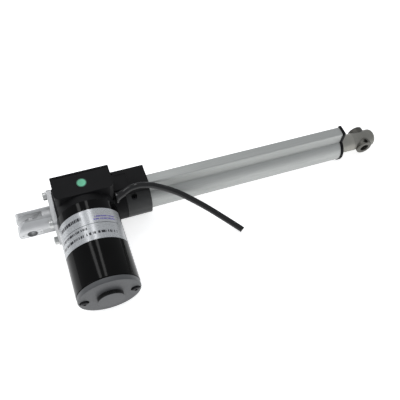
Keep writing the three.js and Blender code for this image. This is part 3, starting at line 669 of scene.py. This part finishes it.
def socket_outline():
    """The outline of the block that holds the tube, with the clamp's shoulder on its front."""
    c = SOCKET_CHAMFER
    flat = [
        (SOCKET_BACK, SOCKET_TOP - c), (SOCKET_BACK - c, SOCKET_TOP),
        (SOCKET_FRONT + c, SOCKET_TOP), (SOCKET_FRONT, SOCKET_TOP - c), (CLAMP_EDGE, CLAMP_SPLIT),
    ]
    shoulder_start = math.degrees(math.acos(CLAMP_EDGE / SOCKET_R))
    return (arc(0, 0, SOCKET_R, 180, 360, 48) + flat
            + arc(0, CLAMP_SHOULDER, SOCKET_R, shoulder_start, 180, 20)[1:])


def gear_housing():
    start, end = HOUSING_LOW[0], HOUSING_HIGH[0]
    half = BODY_HALF
    gearbox = rounded_rectangle(-half, half, -half, half, BODY_CORNER)
    motor_block = rounded_rectangle(start, BLOCK_END, BLOCK_FRONT, BLOCK_BACK, BLOCK_FRONT_CORNER,
                                    BLOCK_BACK_CORNER)
    neck = bar("y", NECK_R, NECK_END, BLOCK_FRONT + JOIN_LAP, MOTOR_CENTRE, 96)
    neck_room = block(start, NECK_ROOM_END, -NECK_ROOM, NECK_ROOM, -NECK_ROOM, NECK_ROOM)
    body = joined(
        prism("x", gearbox, start, BODY_END),
        prism("z", motor_block, 0, BLOCK_TOP),
        bar("y", BOSS_R, BLOCK_BACK - JOIN_LAP, BOSS_END, MOTOR_CENTRE),
        common(neck, neck_room),
        prism("x", socket_outline(), SOCKET_X, end),
    )
    hollow = [
        *(bar("x", r, low, high) for r, low, high in SCREW_BORES),
        prism("x", keyhole(TUBE_GAP), TUBE_LOW[0] - TUBE_GAP, end + WELL_PAST),
        *(bar("y", r, low, high, MOTOR_CENTRE) for r, low, high in WORM_BORES),
        bar("x", WIRE_HOLE_R, WIRE_HOLE_FROM, BLOCK_END + WELL_PAST,
            (0, GLAND_START[1], GLAND_START[2]), 24),
        block(CLAMP_LOW[0] - CLAMP_GAP, end + WELL_PAST, -CLAMP_ROOM, 0, -CLAMP_ROOM,
              CLAMP_SPLIT + SPLIT_GAP),
        block(STRIP_NOTCH_FROM, TUBE_LOW[0], -STRIP_NOTCH_HALF, STRIP_NOTCH_HALF, 0,
              STRIP_NOTCH_TOP),
        *flange_holes(HOUSING_HOLE_R, HOLES_FROM, HOUSING_HOLES_TO),
    ]
    marks = [
        block(start + GROOVE_START, BLOCK_END - GROOVE_END, BLOCK_BACK - GROOVE_FRONT,
              BLOCK_BACK - GROOVE_BACK, BLOCK_TOP - GROOVE_DEPTH, BLOCK_TOP + PAST),
        block(*POCKET_X, *POCKET_Y, SOCKET_TOP - POCKET_DEPTH, SOCKET_TOP + PAST),
        bar("z", GATE_R, SOCKET_TOP - GATE_DEPTH, SOCKET_TOP + PAST, GATE_AT, 24),
    ]
    carved(body, *hollow, *marks)
    return piece(soften(body, 0.5), "housing_moulding", "housing", [moulded],
                 ["gear_housing"])


def tube_clamp():
    past_end = CLAMP_HIGH[0] + WELL_PAST
    whole = prism("x", socket_outline(), SOCKET_X, HOUSING_HIGH[0])
    zone = block(CLAMP_LOW[0], past_end, -CLAMP_ROOM, CLAMP_HIGH[1], -CLAMP_ROOM, CLAMP_HIGH[2])
    half = carved(
        common(whole, zone),
        prism("x", keyhole(TUBE_GAP), CLAMP_BORE_FROM, past_end),
        bar("z", CLAMP_RECESS_R, CLAMP_RECESS_FLOOR, CLAMP_SPLIT + WELL_PAST, CLAMP_CENTRE, 40),
        bar("z", CLAMP_HOLE_R, CLAMP_HOLE_FROM, CLAMP_RECESS_FLOOR + PAST, CLAMP_CENTRE, 20),
    )
    return piece(soften(half, 0.4), "clamp_shell", "housing", [collar_grey],
                 ["tube_clamp"])


def clamp_screw():
    low, top = CLAMP_SCREW_LOW[2], CLAMP_SCREW_HIGH[2]
    r = (CLAMP_SCREW_HIGH[0] - CLAMP_SCREW_LOW[0]) / 2
    seat = top - CLAMP_HEAD
    profile = [(0, low), (CLAMP_SHANK_R, low), (CLAMP_SHANK_R, seat), (r, seat),
               (r, top - CLAMP_HEAD_EDGE), (r - CLAMP_HEAD_EDGE, top), (0, top)]
    screw = hex_screw("z", profile, CLAMP_CENTRE, 32, CLAMP_HEX_R, top - CLAMP_HEX_DEPTH,
                      top + PAST)
    return piece(screw, "clamp_bolt", "housing", [dark_steel], ["clamp_screw"])


def inspection_sticker():
    x, y = ((a + b) / 2 for a, b in zip(STICKER_LOW[:2], STICKER_HIGH[:2]))
    r = (STICKER_HIGH[0] - STICKER_LOW[0]) / 2
    low, high = STICKER_LOW[2], STICKER_HIGH[2]
    profile = [(0, low), (r, low), (r, high - STICKER_EDGE_DROP), (r - STICKER_EDGE, high),
               (0, high)]
    return piece(turned("z", profile, (x, y, 0), 64), "sticker_disc", "housing",
                 [sticker_material()], ["inspection_sticker"])


# ---------------------------------------------------------------- tube, front cap and rod

TUBE_BORE_R = 12.6
# The switch channel in the rib and the slot under it, each as half width, from and to.
CHANNEL, CHANNEL_SLOT = (3.6, 17, 26.4), (2.5, 10.6, 18)
CAP_GROW, CAP_BORE_R, CAP_BORE_X = 1.0, 10.8, (340, 370)
ROD_BORE_R, ROD_EDGE, ROD_LAP = 7.4, 0.3, 0.2
EYE_X = (BUSH_LOW[0] + BUSH_HIGH[0]) / 2
PLUG_R, PLUG_GAP = 7.1, 0.3
DOME_LENGTH, DOME_STEP, DOME_POINTS, DOME_FLAT = 7, 10, 10, 0.35
EYE_HOLE_R, EYE_ROOM = 6.9, 20
BUSH_EDGE, BUSH_CLEARANCE = 0.6, 0.2
BUSH_SLEEVE_R, BUSH_BORE_R = 6.6, 4.9
BUSH_SLEEVE_FROM, BUSH_SLEEVE_SHORT = 0.3, 0.5
GREASE_HOLE_R, GREASE_HOLE_FROM, GREASE_HOLE_Y = 2.6, 5.6, 9.6


def outer_tube():
    low, high = TUBE_LOW[0], TUBE_HIGH[0]
    ends = (low - PAST, high + PAST)
    tube = carved(
        prism("x", keyhole(steps=96), low, high),
        bar("x", TUBE_BORE_R, *ends, sides=64),
        *(block(*ends, -half, half, bottom, top) for half, bottom, top in (CHANNEL, CHANNEL_SLOT)),
    )
    return piece(soften(tube, 0.15), "tube_extrusion", "housing", [anodised],
                 ["outer_tube"])


def front_cap():
    plate = prism("x", keyhole(CAP_GROW, 80), FRONT_CAP_LOW[0], FRONT_CAP_HIGH[0])
    carved(plate, bar("x", CAP_BORE_R, *CAP_BORE_X))
    return piece(soften(plate, 0.5, 3), "front_plate", "housing", [moulded],
                 ["front_cap"])


def rod_tube():
    r, start, end = ROD_HIGH[1], ROD_LOW[0], ROD_HIGH[0] + ROD_LAP
    profile = [(ROD_BORE_R, start), (r - ROD_EDGE, start), (r, start + ROD_EDGE), (r, end),
               (ROD_BORE_R, end)]
    return piece(turned("x", profile, sides=96), "rod_sleeve", "rod", [nickel],
                 ["rod_tube"])


def rod_eye():
    """The solid end plug: a spigot inside the rod, then a domed tip with a small flat."""
    r, end, shoulder = EYE_HIGH[2], EYE_HIGH[0], ROD_HIGH[0] + PLUG_GAP
    angles = [math.radians(DOME_STEP * k) for k in range(DOME_POINTS)]
    dome = [(max(r * math.cos(a), r * DOME_FLAT), end - DOME_LENGTH + DOME_LENGTH * math.sin(a))
            for a in angles]
    spigot = [(0, EYE_LOW[0]), (PLUG_R, EYE_LOW[0]), (PLUG_R, shoulder), (r, shoulder)]
    plug = carved(turned("x", spigot + dome + [(0, end)], sides=96),
                  bar("y", EYE_HOLE_R, -EYE_ROOM, EYE_ROOM, (EYE_X, 0, 0)))
    return piece(soften(plug, 0.3), "eye_plug", "rod", [nickel], ["rod_eye"])


def eye_bushes():
    """Two flanged bushes through the eye. The one on the front has a grease hole."""
    out, r = BUSH_HIGH[1], (BUSH_HIGH[0] - BUSH_LOW[0]) / 2
    centre = (EYE_X, 0, 0)
    for index, side in ((1, -1), (2, 1)):
        profile = [(0, 0), (r, 0), (r, side * (out - BUSH_EDGE)), (r - BUSH_EDGE, side * out),
                   (0, side * out)]
        around = bar("x", EYE_HIGH[2] + BUSH_CLEARANCE, EYE_X - EYE_ROOM, EYE_X + EYE_ROOM)
        bush = carved(turned("y", profile, centre), around)
        reach = sorted((side * BUSH_SLEEVE_FROM, side * (out - BUSH_SLEEVE_SHORT)))
        joined(bush, bar("y", BUSH_SLEEVE_R, *reach, centre))
        carved(bush, bar("y", BUSH_BORE_R, -EYE_ROOM, EYE_ROOM, centre))
        if side < 0:
            hole_at = (EYE_X, side * GREASE_HOLE_Y, 0)
            carved(bush, bar("z", GREASE_HOLE_R, GREASE_HOLE_FROM, EYE_ROOM, hole_at, 40))
        soften(bush, 0.3)
        piece(bush, f"bush_{index}", "rod", [bush_steel], [f"eye_bush_{index}"])


# ---------------------------------------------------------------- motor

CAN_WALL, CAN_FRONT_EDGE = 1.6, 0.5
# The can's rounded far edge and the end cap's boss, as (inset or radius, distance) pairs.
CAN_END_EDGE = [(0, 0.9), (0.25, 0.3), (0.8, 0)]
CAP_BOSS = [(0, 0), (11.6, 0), (12.1, 0.2), (12.3, 0.7)]
CAP_RIM = [(1.2, 0), (0.4, 0.3), (0, 1.1)]
CAP_FACE, CAP_BOSS_R, CAP_BOSS_FOOT_R, CAP_BOSS_FOOT = -111, 12.3, 12.6, 0.2
CAP_HOLLOW_R, CAP_WALL = 9.7, 2.6
SCREW_OUT = 23.7
RECESS_R, RECESS_DEPTH, SHANK_HOLE_R = 4.6, 1.6, 2.2
# Where the end cap is drawn near-black: painted shade on the faces in the screw recesses, and
# black round the boss's wall.
RECESS_SHADE_R, RECESS_SHADE_FROM = 4.7, 0.05
BOSS_BLACK_R, BOSS_BLACK_TO = (12.15, 12.4), 0.1
MOTOR_SCREW_DOME = [(0, 0), (2.5, 0), (3.1, 0.3), (3.4, 0.8)]
MOTOR_SCREW_R, MOTOR_SCREW_HEAD, MOTOR_SHANK_R = 3.4, 3.2, 1.9
MOTOR_HEX_R, MOTOR_HEX_DEPTH = 1.6, 1.8
LABEL_FROM, LABEL_SWEEP, LABEL_STEPS = -81, 150, 90
LABEL_GAP, LABEL_OUT = 0.03, 0.28


def motor_can():
    r, inner = MOTOR_R, MOTOR_R - CAN_WALL
    front, end = CAN_HIGH[1], CAN_LOW[1]
    profile = [(inner, front), (r - CAN_FRONT_EDGE, front), (r, front - CAN_FRONT_EDGE)]
    profile += [(r - inset, end + up) for inset, up in CAN_END_EDGE] + [(inner, end)]
    return piece(turned("y", profile, MOTOR_CENTRE, 144), "motor_shell", "housing",
                 [gloss_black], ["motor_can"])


def screw_places():
    return [(MOTOR_X + side * SCREW_OUT, 0, MOTOR_Z) for side in (-1, 1)]


def motor_end_cap():
    face, boss_end, start = CAP_FACE, END_CAP_LOW[1], END_CAP_HIGH[1]
    r = (END_CAP_HIGH[0] - END_CAP_LOW[0]) / 2
    profile = [(out, boss_end + up) for out, up in CAP_BOSS]
    profile += [(CAP_BOSS_R, face - CAP_BOSS_FOOT), (CAP_BOSS_FOOT_R, face)]
    profile += [(r - inset, face + up) for inset, up in CAP_RIM]
    profile += [(r, start), (CAP_HOLLOW_R, start), (CAP_HOLLOW_R, face - CAP_WALL),
                (0, face - CAP_WALL)]
    cap = turned("y", profile, MOTOR_CENTRE, 128)
    places = screw_places()
    recesses = [bar("y", RECESS_R, face - PAST, face + RECESS_DEPTH, at, 40) for at in places]
    shanks = [bar("y", SHANK_HOLE_R, face - PAST, start + PAST, at, 24) for at in places]
    carved(cap, *recesses, *shanks)
    cap.data.materials.append(cap_grey)
    cap.data.materials.append(shade_and_boss_black)
    # Faces inside the screw recesses take painted shade; the boss's wall is drawn black all round.
    for polygon in cap.data.polygons:
        middle = Vector(polygon.center) / MM - Vector(MOTOR_CENTRE)
        height = polygon.center.y / MM
        near_screw = any(math.hypot(middle.x + MOTOR_X - x, middle.z) < RECESS_SHADE_R
                         for x, _, _ in places)
        in_recess = near_screw and height > face + RECESS_SHADE_FROM
        off_axis = math.hypot(middle.x, middle.z)
        boss_wall = (BOSS_BLACK_R[0] < off_axis < BOSS_BLACK_R[1]
                     and height < face + BOSS_BLACK_TO)
        polygon.material_index = 1 if boss_wall or in_recess else 0
    return piece(cap, "end_cap", "housing", [], ["motor_end_cap"])


def motor_screws():
    for index, at in enumerate(screw_places(), 1):
        low, high = limits(f"motor_screw_{index}")
        top, seat, end = low[1], low[1] + MOTOR_SCREW_HEAD, high[1]
        profile = [(r, top + depth) for r, depth in MOTOR_SCREW_DOME]
        profile += [(MOTOR_SCREW_R, seat), (MOTOR_SHANK_R, seat), (MOTOR_SHANK_R, end), (0, end)]
        screw = hex_screw("y", profile, at, 36, MOTOR_HEX_R, top - PAST, top + MOTOR_HEX_DEPTH)
        piece(screw, f"motor_bolt_{index}", "housing", [dark_steel],
              [f"motor_screw_{index}"])


def rating_label():
    """A thin sheet round the can. Its UVs run along the text and from its upper edge down."""
    top, bottom = LABEL_HIGH[1], LABEL_LOW[1]
    verts = []
    for k in range(LABEL_STEPS + 1):
        a = math.radians(LABEL_FROM + LABEL_SWEEP * k / LABEL_STEPS)
        for r in (MOTOR_R + LABEL_GAP, MOTOR_R + LABEL_OUT):
            for y in (top, bottom):
                verts.append((MOTOR_X + r * math.sin(a), y, MOTOR_Z + r * math.cos(a)))
    faces = [[0, 1, 3, 2], [4 * LABEL_STEPS + i for i in (0, 2, 3, 1)]]
    for k in range(LABEL_STEPS):
        a, b = 4 * k, 4 * (k + 1)
        for i, j in ((0, 1), (1, 3), (3, 2), (2, 0)):
            faces.append([a + i, a + j, b + j, b + i])
    sheet = solid(verts, faces)
    layer = sheet.data.uv_layers.new(name="print")
    for loop in sheet.data.loops:
        vertex = loop.vertex_index
        layer.data[loop.index].uv = (vertex // 4 / LABEL_STEPS, vertex % 2)
    return piece(sheet, "label_sheet", "housing", [label_material()],
                 ["rating_label"])


# ---------------------------------------------------------------- CAD nodes that keep their shape

INTERNAL_FINISHES = {
    steel: ["rear_screw_bearing", "front_screw_bearing", "worm_bearing", "motor_front_plate",
            "motor_front_bearing", "motor_rear_bearing", "lead_screw", "motor_shaft", "worm"],
    white_plastic: ["bearing_carrier", "rod_guide", "brush_holder", "drive_nut"],
    board: ["switch_strip"],
    moulded: ["limit_switch_rear", "limit_switch_front"],
    ferrite: ["motor_magnet_1", "motor_magnet_2", "brush_1", "brush_2"],
    bronze: ["nut_key", "worm_wheel"],
    zinc: ["lock_nut"],
    winding: ["armature"],
    copper: ["commutator"],
}


def finish_internals():
    for material, names in INTERNAL_FINISHES.items():
        for name in names:
            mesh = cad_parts[name].data
            mesh.materials.clear()
            mesh.materials.append(material)


# ---------------------------------------------------------------- table and light

# The actuator rests on its flange, the motor's end and the front plate, so the table is drawn
# tilted to those three, in the actuator's own axes. Sizes here are in metres.
TABLE_UP = Vector((-0.0285, 0.1824, 0.9828)).normalized()
TABLE_HALF, TABLE_GAP, TABLE_GLOW = 6.0, 0.0002, 0.7

# Each light's name, place, aim, size and power in watts.
STRIP = (0.2, 0.7)
LIGHTS = [
    ("key_1", (-0.5, 0.8, 1.4), (0, 0, 0), STRIP, 2.3),
    ("key_2", (0.2, 0.8, 1.4), (0, 0, 0), STRIP, 2.3),
    ("left", (-1.1, 0.1, 0.9), (0.1, 0, 0), (0.7, 0.7), 1.6),
]
SKY_COLOUR, SKY_STRENGTH = (0.95, 0.97, 1, 1), 0.62


def table_material():
    material = surface("table_white", (0.93, 0.93, 0.93), 0.7, specular=0.1, grain=300,
                       depth=0.02, mottle=0.01)
    shader = material.node_tree.nodes["Principled BSDF"]
    shader.inputs["Emission Color"].default_value = (1, 1, 1, 1)
    shader.inputs["Emission Strength"].default_value = TABLE_GLOW
    return material


def make_table():
    lowest = min(TABLE_UP.dot(v.co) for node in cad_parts.values() for v in node.data.vertices)
    s = TABLE_HALF
    mesh = bpy.data.meshes.new("table")
    mesh.from_pydata([(-s, -s, 0), (s, -s, 0), (s, s, 0), (-s, s, 0)], [], [[0, 1, 2, 3]])
    table = bpy.data.objects.new("table", mesh)
    bpy.context.collection.objects.link(table)
    table.matrix_world = (Matrix.Translation(TABLE_UP * (lowest - TABLE_GAP))
                          @ TABLE_UP.to_track_quat("Z", "Y").to_matrix().to_4x4())
    mesh.materials.append(table_material())


def area_light(name, place_at, aim, size, power):
    data = bpy.data.lights.new(name, "AREA")
    data.shape = "RECTANGLE"
    data.size, data.size_y = size
    data.energy = power
    light = bpy.data.objects.new(name, data)
    bpy.context.collection.objects.link(light)
    light.location = place_at
    light.rotation_mode = "QUATERNION"
    light.rotation_quaternion = (Vector(aim) - Vector(place_at)).to_track_quat("-Z", "Y")


def make_lights():
    for light in LIGHTS:
        area_light(*light)
    world = bpy.data.worlds.new("studio")
    bpy.context.scene.world = world
    world.use_nodes = True
    back = world.node_tree.nodes["Background"]
    back.inputs["Color"].default_value = SKY_COLOUR
    back.inputs["Strength"].default_value = SKY_STRENGTH
    bpy.context.scene.view_settings.view_transform = "Standard"


make_camera()
make_cable()
rear_clevis()
flange_gasket()
flange_screws()
gear_housing()
tube_clamp()
clamp_screw()
inspection_sticker()
outer_tube()
front_cap()
rod_tube()
rod_eye()
eye_bushes()
motor_can()
motor_end_cap()
motor_screws()
rating_label()
finish_internals()
make_table()
make_lights()
